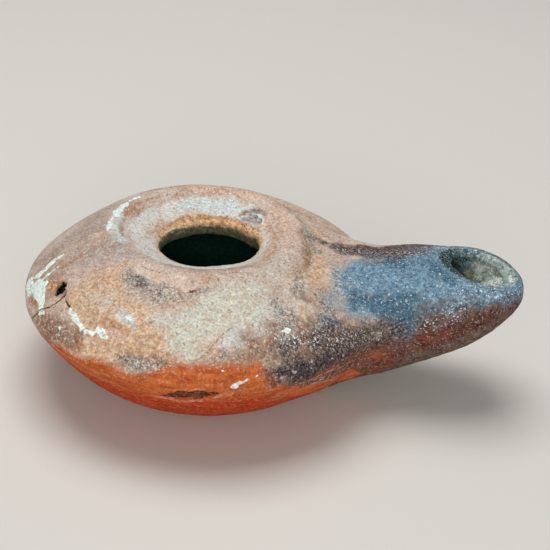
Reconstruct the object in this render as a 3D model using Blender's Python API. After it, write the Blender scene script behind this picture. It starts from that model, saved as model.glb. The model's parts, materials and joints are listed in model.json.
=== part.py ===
"""Clay oil lamp: a hollow round body, a sunk discus with a filling hole, and a nozzle with a wick hole.

The origin is the middle of the flat foot, +Z is up and the nozzle points along +X. Lengths are in metres.
"""
from math import cos, pi, radians, sin, sqrt

import bmesh
import bpy
from mathutils import Vector
from mathutils.geometry import interpolate_bezier

MM = 0.001

# Body
BODY_RADIUS = 36.0 * MM          # at the keel, its widest line
KEEL_HEIGHT = 17.2 * MM
KEEL_EASE = 2.2 * MM             # how far above and below the keel its rounding ends
FOOT_RADIUS = 15.6 * MM          # flat underside
BELLY_BOW = 9.6 * MM             # how far the belly runs out level before it rises
WALL = 3.0 * MM

# Bends of the body's profile, as shares of the stretch that each belongs to
BELLY_BEND = (0.16, 0.41)        # inwards and down from the keel
SHOULDER_BEND = (0.20, 0.39)     # inwards and up from the keel
BROW_BEND = (0.38, 0.23)         # outwards and down from the shoulder's upper end
UNDER_KEEL = 0.42                # how far it draws in below the keel, for each length of the rounding
OVER_KEEL = 0.54                 # the same above the keel
FOOT_RISE = (0.4, 0.04)          # first ring of the belly, outwards and up from the foot

# Top
SHOULDER_RADIUS = 22.3 * MM      # where the shoulder ends below the ring
SHOULDER_HEIGHT = 28.6 * MM
SHOULDER_SLOPE = 0.54            # its fall there
RING_RADIUS = 18.0 * MM          # crest of the ring around the discus
RING_HEIGHT = 30.5 * MM
RING_WIDTH = 5.4 * MM
RING_SHIFT = -0.8 * MM           # the ring sits a little off centre, away from the nozzle
RING_GROOVE = 0.35 * MM          # depth of the line between ring and shoulder
RING_SIDE = 0.55                 # middle of the ring's sides, as a share of its half width
RING_OUTER_DROP = 0.12           # height that it has lost there, as a share of its width
RING_INNER_DROP = 0.08
DISCUS_HEIGHT = 29.55 * MM       # edge of the sunk discus
MOUTH_RADIUS = 10.0 * MM         # filling hole
MOUTH_SINK = 2.45 * MM           # how much lower its edge lies than the discus's
MOUTH_HEIGHT = DISCUS_HEIGHT - MOUTH_SINK
MOUTH_CHAMFER = 0.8 * MM         # worn edge of the filling hole
MOUTH_TILT = 0.6 * MM            # rise of its edge towards the nozzle, and fall away from it

# Inner face, as shares of the wall
KEEL_WALL = 1.13                 # wall at the keel, measured level
SHOULDER_WALL = (0.2, 0.9)       # at the shoulder's upper end, inwards and down
BELLY_WALL = 0.5                 # by how much of the wall the inner belly runs out less
MOUTH_WALL = 0.9                 # below the mouth's edge
RING_WALL = 1.25                 # below the ring's crest
CEILING_BEND = (0.45, 0.4)       # middle of the inner face under the discus, outwards and up from the mouth

# Nozzle, whose sections are measured outwards from the body's axis
NOZZLE_ROOT = 32.0 * MM
NOZZLE_HEAD = 50.0 * MM          # where its end starts to round off
NOZZLE_REACH = 61.9 * MM         # tip
ROOT_HALF_WIDTH = 12.1 * MM
HEAD_HALF_WIDTH = 11.2 * MM
ROOT_HALF_HEIGHT = 13.9 * MM
TIP_HALF_HEIGHT = 5.8 * MM
ROOT_MIDDLE = 14.7 * MM          # height of the middle of its sections
TIP_MIDDLE = 23.2 * MM
UNDERSIDE_HEIGHT = 1.8 * MM      # lowest line of the nozzle, where it leaves the belly
TIP_WALL = 2.4 * MM
NECK_RUN = (-1.5 * MM, 5.5 * MM)  # first row past its root, over its middle line and at its sides
THROAT_SHARE = (0.34, 0.54)      # second row, the same, as shares of the way to its head
HEIGHT_FALL = 1.4                # power by which its height falls towards the tip
MIDDLE_RISE = 1.15               # power by which its middle rises
ROOT_CROWN = 0.9                 # its top at the root, as a share of its half height
CROWN_POWER = 2.6                # squareness of the upper half of its sections, where 2 is an ellipse
LEAST_CLOSING = 0.03             # keeps its last sections from shrinking to a point
BROW_SHARE = 0.11                # last two rows before the tip, as shares of the way back to its head
TIP_SHARE = 0.03

# Wick hole
WICK_CENTRE = 52.4 * MM
WICK_HALF_LENGTH = 7.3 * MM
WICK_HALF_WIDTH = 6.2 * MM
WICK_RIM_BACK = 29.1 * MM        # height of the rim, which slopes down to the tip
WICK_RIM_FRONT = 26.0 * MM
WICK_FLARE = 1.2 * MM            # how much narrower the hole is, on each side, at the inner face
WICK_RUN = 2.3 * MM              # how much shorter it is there at each end

# Small break through the shoulder, at the end away from the nozzle
BREAK_ANGLE = radians(213.0)
BREAK_SHARE = 0.33               # place down the shoulder, between two rings of the cage
BREAK_HALF_LENGTH = 2.2 * MM
BREAK_HALF_WIDTH = 1.0 * MM
BREAK_END_WIDTH = 0.6            # width at its ends, as a share of the middle's
BREAK_TAPER = 0.1                # how much shorter it is at the inner face

# Cage of the surface
COLUMNS = 32                     # around the body
BELLY_POINTS = 9                 # points of the belly's arc, of which two carry rings
BELLY_RINGS = (2, 5)
SHOULDER_POINTS = 4
SHOULDER_RING = 2
FLAT_SHARES = (0.9, 0.8)         # innermost rings of foot and floor, as shares of the foot's radius
ROOT_COLUMNS = 2                 # on each side of the nozzle's middle line
SPOKES = 20                      # around the nozzle
WICK_SPOKES = 2                  # on each side of the wick hole's middle line
BREAK_ROW = 4                    # the break lies between this ring of the wall and the next
HOLD_ROUNDS = 10                 # steps by which the cage is moved out to keep its sizes

# Fired earthenware, buff to brown
CLAY_COLOUR = (0.26, 0.17, 0.10, 1.0)
CLAY_ROUGHNESS = 0.85


def clear_scene():
    """Removes whatever is in the scene."""
    for item in list(bpy.data.objects):
        bpy.data.objects.remove(item, do_unlink=True)


def mix(start, end, share):
    """The value a share of the way from start to end."""
    return start + (end - start) * share


def between(start, end, shares):
    """The (radius, height) point at one share of the way across and another of the way up to the end."""
    return mix(start[0], end[0], shares[0]), mix(start[1], end[1], shares[1])


def bow(start, first_handle, second_handle, end, count):
    """Points inside a Bezier arc in the (radius, height) plane."""
    knots = [Vector((radius, 0.0, height)) for radius, height in (start, first_handle, second_handle, end)]
    return [(point.x, point.z) for point in interpolate_bezier(*knots, count + 2)[1:-1]]


def wall_rings(inset):
    """The rings from the low belly over the keel to the shoulder's upper end, which carry the nozzle too."""
    foot = (FOOT_RADIUS, inset)
    keel = (BODY_RADIUS - KEEL_WALL * inset, KEEL_HEIGHT)
    top = (SHOULDER_RADIUS - SHOULDER_WALL[0] * inset, SHOULDER_HEIGHT - SHOULDER_WALL[1] * inset)
    belly_out = (foot[0] + BELLY_BOW - BELLY_WALL * inset, foot[1])
    belly = bow(foot, belly_out, between(keel, foot, BELLY_BEND), keel, BELLY_POINTS)
    shoulder_up = between(keel, top, SHOULDER_BEND)
    shoulder_in = between(top, keel, BROW_BEND)
    shoulder = bow(keel, shoulder_up, shoulder_in, top, SHOULDER_POINTS)
    under = (keel[0] - UNDER_KEEL * KEEL_EASE, keel[1] - KEEL_EASE)
    over = (keel[0] - OVER_KEEL * KEEL_EASE, keel[1] + KEEL_EASE)
    low_belly, mid_belly = (belly[index] for index in BELLY_RINGS)
    return [low_belly, mid_belly, under, keel, over, shoulder[SHOULDER_RING], top + (RING_SHIFT,)]


def foot_rings():
    """The flat foot, from its middle out, and the first rise of the belly."""
    return [(FLAT_SHARES[0] * FOOT_RADIUS, 0.0), (FOOT_RADIUS, 0.0),
            (FOOT_RADIUS + FOOT_RISE[0] * BELLY_BOW, FOOT_RISE[1] * BELLY_BOW)]


def discus_rings():
    """The ring and the sunk discus, from the shoulder in to the mouth, as (radius, height, shift, tilt)."""
    half = RING_WIDTH / 2
    outer_foot = RING_RADIUS + half
    groove_height = SHOULDER_HEIGHT + SHOULDER_SLOPE * (SHOULDER_RADIUS - outer_foot) - RING_GROOVE
    inner_foot = RING_RADIUS - half
    middle = ((inner_foot + MOUTH_RADIUS) / 2, (DISCUS_HEIGHT + MOUTH_HEIGHT) / 2)
    return [
        (outer_foot, groove_height, RING_SHIFT, 0.0),
        (RING_RADIUS + RING_SIDE * half, RING_HEIGHT - RING_OUTER_DROP * RING_WIDTH, RING_SHIFT, 0.0),
        (RING_RADIUS, RING_HEIGHT, RING_SHIFT, 0.0),
        (RING_RADIUS - RING_SIDE * half, RING_HEIGHT - RING_INNER_DROP * RING_WIDTH, RING_SHIFT, 0.0),
        (inner_foot, DISCUS_HEIGHT, RING_SHIFT, 0.0),
        middle + (RING_SHIFT / 2, MOUTH_TILT / 2),
        (MOUTH_RADIUS, MOUTH_HEIGHT, 0.0, MOUTH_TILT),
        (MOUTH_RADIUS - MOUTH_CHAMFER, MOUTH_HEIGHT - MOUTH_CHAMFER, 0.0, MOUTH_TILT)]


def ceiling_rings(inset):
    """The inner face below the discus, from the mouth out to the shoulder."""
    mouth = (MOUTH_RADIUS - MOUTH_CHAMFER / 2, MOUTH_HEIGHT - MOUTH_WALL * inset)
    ring = (RING_RADIUS, RING_HEIGHT - RING_WALL * inset)
    return [mouth, between(mouth, ring, CEILING_BEND), ring]


def turned_ring(mesh, radius, height, shift=0.0, tilt=0.0):
    """A ring of points around the axis. The first lies over the nozzle's middle line."""
    points = []
    for column in range(COLUMNS):
        angle = 2 * pi * column / COLUMNS
        place = (radius * cos(angle) + shift, radius * sin(angle), height + tilt * cos(angle))
        points.append(mesh.verts.new(place))
    return points


def band(mesh, first, second, skipped=()):
    """Faces between two closed rows of points with as many points each."""
    count = len(first)
    for index in range(count):
        following = (index + 1) % count
        corners = (first[index], first[following], second[following], second[index])
        if index not in skipped and None not in corners:
            mesh.faces.new(corners)


def root_loop(rows):
    """The points around the nozzle's opening in the wall, from the middle of its top edge round by +Y."""
    top = rows[-1]
    bottom = rows[0]
    across = range(-ROOT_COLUMNS, ROOT_COLUMNS + 1)
    far_side = [row[ROOT_COLUMNS] for row in rows[-2:0:-1]]
    near_side = [row[-ROOT_COLUMNS] for row in rows[1:-1]]
    return ([top[column] for column in across if column >= 0] + far_side
            + [bottom[-column] for column in across] + near_side
            + [top[column] for column in across if column < 0])


def nozzle_reach(inset):
    """Distance of the nozzle's tip from the axis, on its outer or its inner face."""
    return NOZZLE_REACH - inset * TIP_WALL / WALL


def section(distance, inset):
    """Half width, height above and below, and middle height of the nozzle at a distance from the axis."""
    along = max(0.0, (distance - NOZZLE_ROOT) / (NOZZLE_REACH - NOZZLE_ROOT))
    taper = (distance - NOZZLE_ROOT) / (NOZZLE_HEAD - NOZZLE_ROOT)
    into_tip = max(0.0, (distance - NOZZLE_HEAD) / (nozzle_reach(inset) - NOZZLE_HEAD))
    closing = sqrt(max(LEAST_CLOSING, 1.0 - into_tip ** 2))
    half_width = (mix(ROOT_HALF_WIDTH, HEAD_HALF_WIDTH, taper) - inset) * closing
    half_height = (mix(ROOT_HALF_HEIGHT, TIP_HALF_HEIGHT, along ** HEIGHT_FALL) - inset) * closing
    middle = mix(ROOT_MIDDLE, TIP_MIDDLE, 1.0 - max(0.0, 1.0 - along) ** MIDDLE_RISE)
    below = min(half_height, middle - UNDERSIDE_HEIGHT - inset)
    return half_width, mix(ROOT_CROWN, 1.0, along) * half_height, below, middle


def section_point(distance, inset, angle):
    """A point on the nozzle's surface. The angle runs from the top round by +Y."""
    half_width, above, below, middle = section(distance, inset)
    if cos(angle) >= 0:
        side = abs(sin(angle)) ** (2 / CROWN_POWER)
        rise = above * cos(angle) ** (2 / CROWN_POWER)
    else:
        side = abs(sin(angle))
        rise = below * cos(angle)
    return distance, half_width * (side if sin(angle) >= 0 else -side), middle + rise


def wick_half_length(inset):
    """Half the length of the wick hole at the outer or the inner face."""
    return WICK_HALF_LENGTH - inset / WALL * WICK_RUN


def wick_point(angle, inset):
    """A point on the wick hole's edge. The angle runs from its end near the body round by +Y."""
    distance = WICK_CENTRE - wick_half_length(inset) * cos(angle)
    side = (WICK_HALF_WIDTH - inset / WALL * WICK_FLARE) * sin(angle)
    if inset:
        half_width, above, _, middle = section(distance, inset)
        lift = max(0.0, 1.0 - abs(side / half_width) ** CROWN_POWER) ** (1 / CROWN_POWER)
        return distance, side, middle + above * lift
    share = (distance - WICK_CENTRE + WICK_HALF_LENGTH) / (2 * WICK_HALF_LENGTH)
    return distance, side, mix(WICK_RIM_BACK, WICK_RIM_FRONT, share)


def nozzle_row(mesh, inset, distance_at):
    """A row of points round the nozzle, at the distance that each angle gives."""
    row = []
    for spoke in range(SPOKES):
        angle = 2 * pi * spoke / SPOKES
        row.append(mesh.verts.new(section_point(distance_at(angle), inset, angle)))
    return row


def wick_rows(mesh, inset):
    """The rows beside the wick hole, and the points of its edge in order."""
    steps = 2 * WICK_SPOKES
    turn = pi / (4 * WICK_SPOKES)
    edge = [mesh.verts.new(wick_point(turn * index, inset)) for index in range(4 * steps)]
    rows = []
    for step in range(steps + 1):
        beside = WICK_CENTRE - wick_half_length(inset) * cos(pi * (step + 1) / (steps + 2))
        row = [None] * SPOKES
        for spoke in range(WICK_SPOKES + 1, SPOKES - WICK_SPOKES):
            row[spoke] = mesh.verts.new(section_point(beside, inset, 2 * pi * spoke / SPOKES))
        row[WICK_SPOKES] = edge[WICK_SPOKES + step]
        row[-WICK_SPOKES] = edge[-WICK_SPOKES - step]
        rows.append(row)
    for spoke in range(-WICK_SPOKES, WICK_SPOKES + 1):
        rows[0][spoke] = edge[spoke]
        rows[-1][spoke] = edge[2 * steps - spoke]
    return rows, edge


def nozzle_skin(mesh, root, inset):
    """The nozzle from its opening in the wall to its tip. Gives the points of the wick hole's edge."""
    reach = nozzle_reach(inset)
    neck = nozzle_row(mesh, inset, lambda angle: NOZZLE_ROOT + mix(*NECK_RUN, sin(angle) ** 2))
    throat = nozzle_row(
        mesh, inset, lambda angle: mix(NOZZLE_ROOT, NOZZLE_HEAD, mix(*THROAT_SHARE, sin(angle) ** 2)))
    beside, edge = wick_rows(mesh, inset)
    brow = nozzle_row(mesh, inset, lambda angle: mix(reach, NOZZLE_HEAD, BROW_SHARE))
    tip = nozzle_row(mesh, inset, lambda angle: mix(reach, NOZZLE_HEAD, TIP_SHARE))
    rows = [root, neck, throat] + beside + [brow, tip]
    hole = [spoke % SPOKES for spoke in range(-WICK_SPOKES, WICK_SPOKES)]
    for first, second in zip(rows, rows[1:]):
        in_hole = first in beside and second in beside
        band(mesh, first, second, hole if in_hole else ())
    mesh.faces.new(tip)
    return edge


def break_column():
    """The column of the cage that the middle of the break lies on."""
    return round(BREAK_ANGLE / (2 * pi) * COLUMNS)


def break_skin(mesh, wall, inset):
    """The faces around the small break, between two rings. Gives the points of its edge."""
    lower, upper = wall[BREAK_ROW], wall[BREAK_ROW + 1]
    columns = [break_column() + step for step in (-1, 0, 1)]
    corners = [lower[column] for column in columns] + [upper[column] for column in reversed(columns)]
    half_length = BREAK_HALF_LENGTH * (1.0 - BREAK_TAPER * inset / WALL)
    rings = wall_rings(inset)
    low, high = rings[BREAK_ROW], rings[BREAK_ROW + 1]
    slant = sqrt((low[0] - high[0]) ** 2 + (low[1] - high[1]) ** 2)
    edge = []
    for side, across in ((-1, -1), (-1, 0), (-1, 1), (1, 1), (1, 0), (1, -1)):
        width = BREAK_HALF_WIDTH * (1.0 if across == 0 else BREAK_END_WIDTH)
        share = 1.0 - BREAK_SHARE + side * width / slant
        radius, height = between(low, high, (share, share))
        angle = BREAK_ANGLE + across * half_length / radius
        edge.append(mesh.verts.new((radius * cos(angle), radius * sin(angle), height)))
    band(mesh, corners, edge)
    return edge


def hold_surface(mesh):
    """Moves the cage out, so that the rounded surface passes through the places where it was drawn."""
    drawn = {point: point.co.copy() for point in mesh.verts}
    for _ in range(HOLD_ROUNDS):
        moves = {}
        for point in mesh.verts:
            count = len(point.link_edges)
            faces = sum((face.calc_center_median() for face in point.link_faces), Vector())
            edges = sum((edge.verts[0].co + edge.verts[1].co for edge in point.link_edges), Vector())
            rounded = (faces + edges) / count ** 2 + point.co * (count - 3) / count
            moves[point] = drawn[point] - rounded
        for point, move in moves.items():
            if drawn[point].z == 0.0:
                move.z = 0.0
            point.co += move


def left_open(wall, first, second):
    """The faces left out between two rings of a wall, for the nozzle and for the break."""
    open_columns = [column % COLUMNS for column in range(-ROOT_COLUMNS, ROOT_COLUMNS)]
    if {wall.index(first), wall.index(second)} == {BREAK_ROW, BREAK_ROW + 1}:
        open_columns += [break_column() - 1, break_column()]
    return open_columns


def lamp_mesh():
    """The closed cage of the lamp: outer face, edges of the two holes and inner face."""
    mesh = bmesh.new()
    outer = [turned_ring(mesh, *ring) for ring in wall_rings(0.0)]
    foot = [turned_ring(mesh, *ring) for ring in foot_rings()]
    top = [turned_ring(mesh, *ring) for ring in discus_rings()]
    ceiling = [turned_ring(mesh, *ring) for ring in ceiling_rings(WALL)]
    inner = [turned_ring(mesh, *ring) for ring in wall_rings(WALL)]
    floor = turned_ring(mesh, FLAT_SHARES[1] * FOOT_RADIUS, WALL)
    rows = foot + outer + top + ceiling + inner[::-1] + [floor]
    for first, second in zip(rows, rows[1:]):
        walls = [wall for wall in (outer, inner) if first in wall and second in wall]
        band(mesh, first, second, left_open(walls[0], first, second) if walls else ())
    mesh.faces.new(foot[0])
    mesh.faces.new(floor)
    band(mesh, nozzle_skin(mesh, root_loop(outer), 0.0), nozzle_skin(mesh, root_loop(inner), WALL))
    band(mesh, break_skin(mesh, outer, 0.0), break_skin(mesh, inner, WALL))
    unused = [point for point in mesh.verts if not point.link_faces]
    bmesh.ops.delete(mesh, geom=unused, context="VERTS")
    hold_surface(mesh)
    bmesh.ops.recalc_face_normals(mesh, faces=mesh.faces)
    return mesh


def fired_clay():
    """Plain fired earthenware, matt all over."""
    material = bpy.data.materials.new("fired_clay")
    material.use_nodes = True
    shader = material.node_tree.nodes["Principled BSDF"]
    shader.inputs["Base Color"].default_value = CLAY_COLOUR
    shader.inputs["Roughness"].default_value = CLAY_ROUGHNESS
    shader.inputs["Metallic"].default_value = 0.0
    return material


def make_lamp():
    """The lamp as one object with a rounded surface."""
    cage = lamp_mesh()
    data = bpy.data.meshes.new("oil_lamp")
    cage.to_mesh(data)
    cage.free()
    data.shade_smooth()
    data.materials.append(fired_clay())
    lamp = bpy.data.objects.new("oil_lamp", data)
    bpy.context.scene.collection.objects.link(lamp)
    rounding = lamp.modifiers.new("rounding", "SUBSURF")
    rounding.levels = 1
    rounding.render_levels = 1
    rounding.use_limit_surface = False
    return lamp


clear_scene()
make_lamp()
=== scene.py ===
import json
from math import atan2, pi, radians

import bpy
import numpy as np
from mathutils import Matrix, Vector, noise
from mathutils.bvhtree import BVHTree


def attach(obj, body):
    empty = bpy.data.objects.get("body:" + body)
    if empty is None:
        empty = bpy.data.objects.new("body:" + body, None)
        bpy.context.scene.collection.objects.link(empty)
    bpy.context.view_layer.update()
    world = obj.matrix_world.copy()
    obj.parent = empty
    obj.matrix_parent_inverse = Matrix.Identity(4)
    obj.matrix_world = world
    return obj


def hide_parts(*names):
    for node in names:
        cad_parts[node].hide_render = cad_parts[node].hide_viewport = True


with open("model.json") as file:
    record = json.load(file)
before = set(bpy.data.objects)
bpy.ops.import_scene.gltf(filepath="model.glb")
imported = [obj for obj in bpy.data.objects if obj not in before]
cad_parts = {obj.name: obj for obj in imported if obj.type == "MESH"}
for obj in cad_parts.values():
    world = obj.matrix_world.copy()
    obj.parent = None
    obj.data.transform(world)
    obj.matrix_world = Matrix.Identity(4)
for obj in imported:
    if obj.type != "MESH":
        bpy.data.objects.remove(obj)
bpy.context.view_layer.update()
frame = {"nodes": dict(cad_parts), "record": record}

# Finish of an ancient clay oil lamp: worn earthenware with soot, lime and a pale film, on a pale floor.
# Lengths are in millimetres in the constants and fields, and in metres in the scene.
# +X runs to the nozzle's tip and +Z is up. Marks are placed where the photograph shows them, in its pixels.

MM = 0.001

# Camera, fitted to the lamp's outline in the photograph
PHOTO_WIDTH = 550                # pixels, and as many high
LENS = 85.0
SENSOR = 36.0
CAMERA_PLACE = (32.7, -221.1, 149.3)
CAMERA_ELEVATION = 30.0          # degrees down
CAMERA_TURN = 5.0                # degrees to the left of +Y
CAMERA_ROLL = 3.16               # degrees

# Fineness of the skin
GUIDE_LEVELS = 2                 # how often the solid's surface is divided to round it
JOIN_DISTANCE = 0.001            # corners of the solid's loose triangles that are closer than this are one
SKIN_SPACING = 0.54              # outside
INSIDE_SHARE = 0.10              # share of the inner face's triangles that is kept
INSIDE_REACH = 6.0               # a ray from the inner face meets clay beyond this distance
OPENING_MARGIN = 5.0             # the skin stays fine this far around an opening
FINE_MARGIN = 0.5                # and is made twice as fine this far around a fine mark
RAY_START = 0.05                 # a ray leaves a face from this far outside it
FAR = 1000.0                     # further than anything on the lamp
TINY = 1e-9                      # keeps a square off zero
LEAST = 0.1                      # keeps a distance off zero

# Marks as runs of (pixel, pixel, half width in mm)
LIME_CRUST = (
    ((141, 197, 0.3), (127, 203, 0.5), (117, 212, 0.65), (110.5, 222, 0.5), (108, 231, 0.25)),
    ((30, 282, 1.0), (31, 290, 1.2), (37, 286, 1.6), (40, 290, 1.7), (45, 285, 0.9)),
    ((40, 292, 1.5), (42, 302, 0.8), (42, 309, 0.6)),
    ((35, 278, 0.6), (40, 276, 0.8), (45, 271, 0.75), (51, 265, 0.7), (55, 260.5, 0.65), (61, 257, 0.4)),
    ((42, 281, 0.5), (52, 272.8, 0.4), (58, 268, 0.3)),
    ((40, 313, 0.35), (44, 313, 0.3)),
    ((70, 308.5, 0.4), (73, 314, 0.6), (76, 319.5, 0.6), (80, 325, 0.55), (86, 331, 0.55)),
    ((86, 331, 0.55), (93, 334.5, 0.35)),
    ((98, 330.5, 0.7), (102, 334, 0.9), (106, 337, 0.5)),
    ((60.4, 328, 0.12), (59.6, 335, 0.14)),
    ((231, 386.5, 0.3), (237, 385.5, 0.4)),
    ((238, 384, 0.2), (248, 380, 0.2), (257, 375.8, 0.22)),
    ((223, 371, 0.02), (223.4, 371.2, 0.02)),
    ((282, 331, 0.35), (287, 330, 0.6)),
    ((181.7, 211.6, 0.2), (181.9, 211.8, 0.2)),
    ((126, 318, 0.12), (131, 319.5, 0.16)),
)
PALE_FILM = (
    ((152, 319, 0.6), (166, 324, 1.6), (184, 336, 3.4), (190, 350, 2.6), (190, 356, 1.2)),
    ((176, 320, 2.2), (205, 322, 4.4), (235, 311, 3.0), (262, 312, 3.2)),
    ((205, 302, 2.0), (232, 300, 2.6), (256, 296, 2.0)),
)
BLOOM = (
    ((228, 290, 2.4), (262, 280, 2.6), (284, 258, 2.4), (286, 236, 1.2)),
    ((262, 318, 2.4), (284, 304, 2.4), (300, 290, 1.6)),
    ((146, 198, 0.8), (160, 194, 1.1), (178, 192, 0.7)),
    ((94, 296, 1.4), (106, 304, 1.2)),
)
FROST = (
    ((186, 206, 1.2), (206, 203, 1.9), (232, 205, 1.8), (240, 208, 0.9)),
    ((222, 345, 0.9), (230, 339, 1.6), (240, 331, 1.0), (242, 342, 0.7)),
    ((122, 216, 1.0), (115, 228, 1.3), (121, 240, 1.0)),
    ((244, 340, 0.4), (262, 334, 0.5)),
    ((122, 314, 0.7), (129, 319, 0.9), (134, 326, 0.4)),
)
HAZE = (
    ((46, 262, 0.8), (66, 240, 2.2), (92, 226, 4.0), (104, 210, 2.4), (126, 196, 1.4)),
    ((84, 258, 3.0), (108, 250, 3.4), (128, 254, 2.0)),
)
SHORE = (
    (52, 342, 0.0), (70, 352, 0.0), (99, 361, 0.0), (130, 374, 0.0), (150, 374, 0.0), (172, 364, 0.0),
    (197, 362, 0.0), (230, 365, 0.0), (260, 363, 0.0), (275, 376, 0.0), (290, 385, 0.0),
)
# Pinkish clay along the far top edge and the ring's right side, also painted lighter as rim light.
PALE_CLAY_AND_RIM_LIGHT = (
    ((182, 188, 0.8), (204, 187, 1.5), (240, 191, 1.7), (280, 202, 2.1), (320, 220, 2.3), (346, 236, 1.4)),
    ((272, 212, 1.5), (288, 224, 1.6), (286, 246, 1.2)),
)
BARE_NOZZLE = (
    ((280, 396, 2.6), (296, 393, 2.4), (312, 388.5, 2.6), (334, 381.5, 2.6), (350, 376.5, 2.0)),
    ((369, 358, 0.2), (376, 356, 0.35), (382, 355, 0.2)),
)
ORANGE_CLAY = (
    ((80, 300, 3.4), (98, 290, 4.4), (112, 280, 2.6), (122, 268, 0.8)),
    ((86, 322, 3.0), (112, 316, 4.2), (138, 322, 3.2), (158, 342, 2.6)),
    ((96, 344, 3.0), (130, 350, 3.2), (165, 359, 2.2)),
    ((262, 222, 1.4), (271, 238, 1.6), (266, 256, 1.4)),
    ((196, 214, 0.8), (160, 226, 0.6), (150, 238, 0.5)),
    ((314, 226, 0.8), (313, 250, 1.2), (318, 272, 1.7), (314, 290, 1.1)),
    ((250, 345, 1.2), (262, 352, 1.6), (254, 358, 1.2)),
    ((235, 315, 0.5), (241, 313, 0.5)),
    ((206, 357, 0.6), (218, 345, 0.6), (228, 335, 0.4)),
    ((340, 362, 0.9), (362, 358, 1.1), (384, 352, 0.6)),
    ((288, 205, 0.7), (302, 212, 1.1), (320, 223, 1.0)),
    ((62, 345, 1.0), (76, 349, 1.6), (90, 354, 1.0)),
)
RUST = (
    ((34, 277, 0.12), (42, 268, 0.22), (49, 262, 0.16)),
    ((48, 278, 0.18), (53, 271, 0.22), (61, 263, 0.2), (67, 256, 0.14)),
    ((62, 268, 0.3), (72, 262, 0.35), (82, 255, 0.3)),
    ((30, 299, 0.6), (36, 303, 0.6), (36, 308, 0.4)),
    ((47, 283.5, 0.25), (56, 285, 0.3), (64, 281.8, 0.2)),
    ((122, 236, 0.3), (121, 224, 0.35), (128, 211, 0.4), (141, 202, 0.35), (160, 196, 0.3)),
    ((308, 250, 0.3), (309, 262, 0.45), (305, 272, 0.35)),
    ((297, 216, 0.3), (302, 222, 0.4)),
    ((104, 321, 0.8), (118, 328, 0.7)),
    ((46, 325, 1.0), (58, 333, 1.5), (70, 341, 1.5), (80, 348, 1.1)),
    ((120, 266, 0.14), (106, 267.5, 0.12), (93, 271, 0.1)),
    ((268, 226, 0.4), (277, 240, 0.4), (272, 254, 0.3)),
)
BROWN_PATCH = (
    ((40, 320, 1.6), (54, 330, 2.8), (70, 340, 2.2)),
    ((244, 338, 0.8), (256, 344, 1.6), (252, 356, 1.4), (226, 358, 0.9)),
    ((120, 356, 1.0), (140, 362, 1.6), (164, 364, 1.2)),
    ((272, 326, 1.4), (288, 336, 2.8), (282, 350, 2.8), (268, 356, 1.6)),
    ((84, 371, 0.6), (97, 378, 1.0), (110, 384, 0.7)),
    ((300, 330, 2.0), (322, 322, 2.0), (342, 322, 1.6)),
    ((303, 230, 0.4), (307, 246, 0.5), (308, 262, 0.7), (302, 272, 0.5)),
    ((299, 292, 0.6), (306, 300, 0.9)),
    ((360, 323, 0.8), (374, 327, 1.1), (386, 324, 0.8)),
    ((276, 346, 2.2), (300, 350, 3.0), (330, 342, 3.0), (356, 334, 2.4)),
    ((256, 362, 1.4), (267, 364, 2.0), (278, 371, 1.8), (286, 379, 1.2)),
)
SCORCHED = (
    ((296, 380, 1.0), (316, 374, 2.4), (336, 366, 3.4), (360, 357, 3.8), (384, 350, 3.2), (404, 346, 2.0)),
    ((404, 346, 2.0), (424, 341, 1.6), (446, 333, 1.0)),
    ((292, 385, 0.8), (304, 383, 1.0), (318, 380, 1.3), (334, 376, 1.4), (350, 371, 1.3)),
    ((344, 378, 1.6), (358, 373.5, 2.4), (372, 369, 2.6), (384, 365.5, 2.0)),
)
UMBER = (
    ((392, 354, 1.6), (424, 343, 2.2), (456, 331, 2.0), (486, 317, 1.4), (506, 305, 0.8)),
    ((324, 243, 0.8), (344, 249, 1.8), (366, 251, 3.0), (396, 251, 2.8), (418, 250, 0.8)),
    ((288, 383, 0.5), (300, 383.5, 0.7), (309, 382.5, 0.5), (320, 380, 0.8), (331, 375, 0.6)),
    ((352, 373, 0.6), (368, 366, 1.0), (384, 362, 1.2)),
)
SPECKLED_GREY = (
    ((125, 274, 0.9), (137, 282, 1.9), (147, 290, 1.7), (168, 296, 1.5), (190, 294, 1.0), (212, 289, 0.6)),
    ((128, 360, 1.0), (144, 367, 1.4), (164, 367, 0.8)),
    ((216, 357, 0.7), (236, 353, 0.9)),
    ((62, 333, 0.4), (69, 336, 0.5)),
    ((276, 304, 1.2), (286, 318, 2.0), (286, 334, 1.8)),
    ((306, 226, 0.7), (310, 236, 1.2), (312, 246, 0.9), (317, 252, 0.6)),
    ((297, 270, 0.8), (300, 280, 1.0), (296, 292, 0.9)),
    ((322, 296, 1.4), (330, 312, 1.8), (320, 326, 1.8)),
    ((334, 268, 1.2), (342, 276, 1.4), (338, 290, 1.2)),
)
SOOT = (
    ((344, 266, 0.8), (366, 280, 5.6), (400, 276, 7.6), (438, 272, 6.8), (462, 276, 4.4)),
    ((334, 298, 1.0), (356, 303, 2.4), (384, 306, 3.4), (414, 300, 2.5)),
    ((450, 288, 2.4), (478, 292, 1.8), (506, 290, 2.0), (520, 287, 1.8)),
    ((372, 258, 1.6), (420, 254, 2.4), (450, 248, 1.6), (482, 252, 1.6), (510, 264, 1.4), (521, 280, 1.2)),
    ((396, 312, 1.6), (402, 324, 1.6), (404, 333, 1.0)),
)
SLATE = (
    ((376, 262, 1.4), (394, 259, 1.8), (402, 266, 1.2)),
    ((352, 296, 1.2), (378, 302, 1.2), (404, 300, 1.6), (414, 298, 0.9)),
    ((384, 306, 2.0), (400, 312, 2.8), (404, 326, 1.8), (402, 334, 0.9)),
    ((326, 321, 0.8), (340, 323, 0.9)),
    ((430, 262, 0.8), (440, 272, 1.0), (452, 282, 0.7)),
)
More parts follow.
